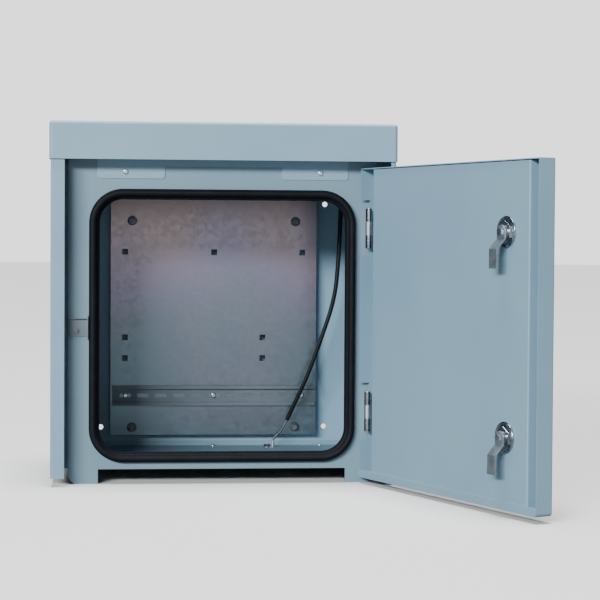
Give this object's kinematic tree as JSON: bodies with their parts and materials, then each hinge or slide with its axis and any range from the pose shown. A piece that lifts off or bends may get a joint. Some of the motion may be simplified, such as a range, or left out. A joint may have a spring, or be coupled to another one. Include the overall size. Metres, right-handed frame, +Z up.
{
  "type": "roadside utility cabinet",
  "caption": "Free-standing sheet steel roadside cabinet: hinged door with cam locks, canopy roof, rubber-sealed opening, mounting plate with top-hat rail and an earth lead.",
  "frame": {"origin": "on the ground, at the middle of the body's footprint", "axes": "+X to the right seen from the front (the hinge side), +Y from the door opening towards the back wall, +Z up"},
  "size_m": [0.7117, 0.7753, 0.58],
  "materials": {
    "powder_coat": "fine-textured light blue-grey powder coat",
    "powder_coat_inside": "the same powder coat on the inner sheets",
    "galvanised_sheet": "hot-dip galvanised, mottled",
    "zinc": "bright zinc plate",
    "black_rubber": "matt black rubber",
    "lock_metal": "satin zinc die-casting",
    "lead_sheath": "glossy black sheath",
    "lead_core": "dull tinned copper strands"
  },
  "bodies": {
    "cabinet": {"body_shell": "powder_coat", "front_frame": "powder_coat_inside", "base_floor": "powder_coat_inside", "floor_screws": "zinc", "gland_plate": "galvanised_sheet", "gland_plate_screws": "zinc", "top_panel": "powder_coat_inside", "canopy": "powder_coat", "canopy_fixing_strip": "powder_coat", "canopy_screws": "zinc", "opening_gasket": "black_rubber", "mounting_plate": "galvanised_sheet", "plate_studs": "zinc", "plate_spacers": "zinc", "plate_nuts": "zinc", "din_rail": "galvanised_sheet", "din_rail_screws": "zinc", "centre_bracket": "zinc", "centre_bracket_rivet": "zinc", "hinge_frame_leaf_upper": "zinc", "hinge_frame_leaf_lower": "zinc", "hinge_pin_upper": "zinc", "hinge_pin_lower": "zinc", "hinge_frame_screws": "zinc", "earth_lead_sheath": "lead_sheath", "earth_lead_core": "lead_core", "earth_lug_upper": "zinc", "earth_lug_lower": "zinc", "earth_bolts": "zinc"},
    "door": {"door_skin": "powder_coat", "door_inner_pan": "powder_coat_inside", "hinge_door_leaf_upper": "zinc", "hinge_door_leaf_lower": "zinc", "hinge_door_screws": "zinc", "lock_housing_upper": "lock_metal", "lock_housing_lower": "lock_metal", "lock_collar_upper": "lock_metal", "lock_collar_lower": "lock_metal"},
    "upper_cam": {"lock_core_upper": "zinc", "lock_cam_upper": "zinc", "cam_screw_upper": "zinc"},
    "lower_cam": {"lock_core_lower": "zinc", "lock_cam_lower": "zinc", "cam_screw_lower": "zinc"}
  },
  "joints": [
    {"name": "door_hinge", "type": "hinge", "parent": "cabinet", "child": "door", "pos_m": [0.234, -0.1502, 0.26], "axis": [0, 0, 1], "range_deg": [-112.25, 0]},
    {"name": "upper_cam_turn", "type": "hinge", "parent": "door", "child": "upper_cam", "pos_m": [0.38678, -0.52366, 0.407], "axis": [-0.9255, -0.3786, 0], "range_deg": [0, 90]},
    {"name": "lower_cam_turn", "type": "hinge", "parent": "door", "child": "lower_cam", "pos_m": [0.38678, -0.52366, 0.114], "axis": [-0.9255, -0.3786, 0], "range_deg": [0, 90]}
  ]
}
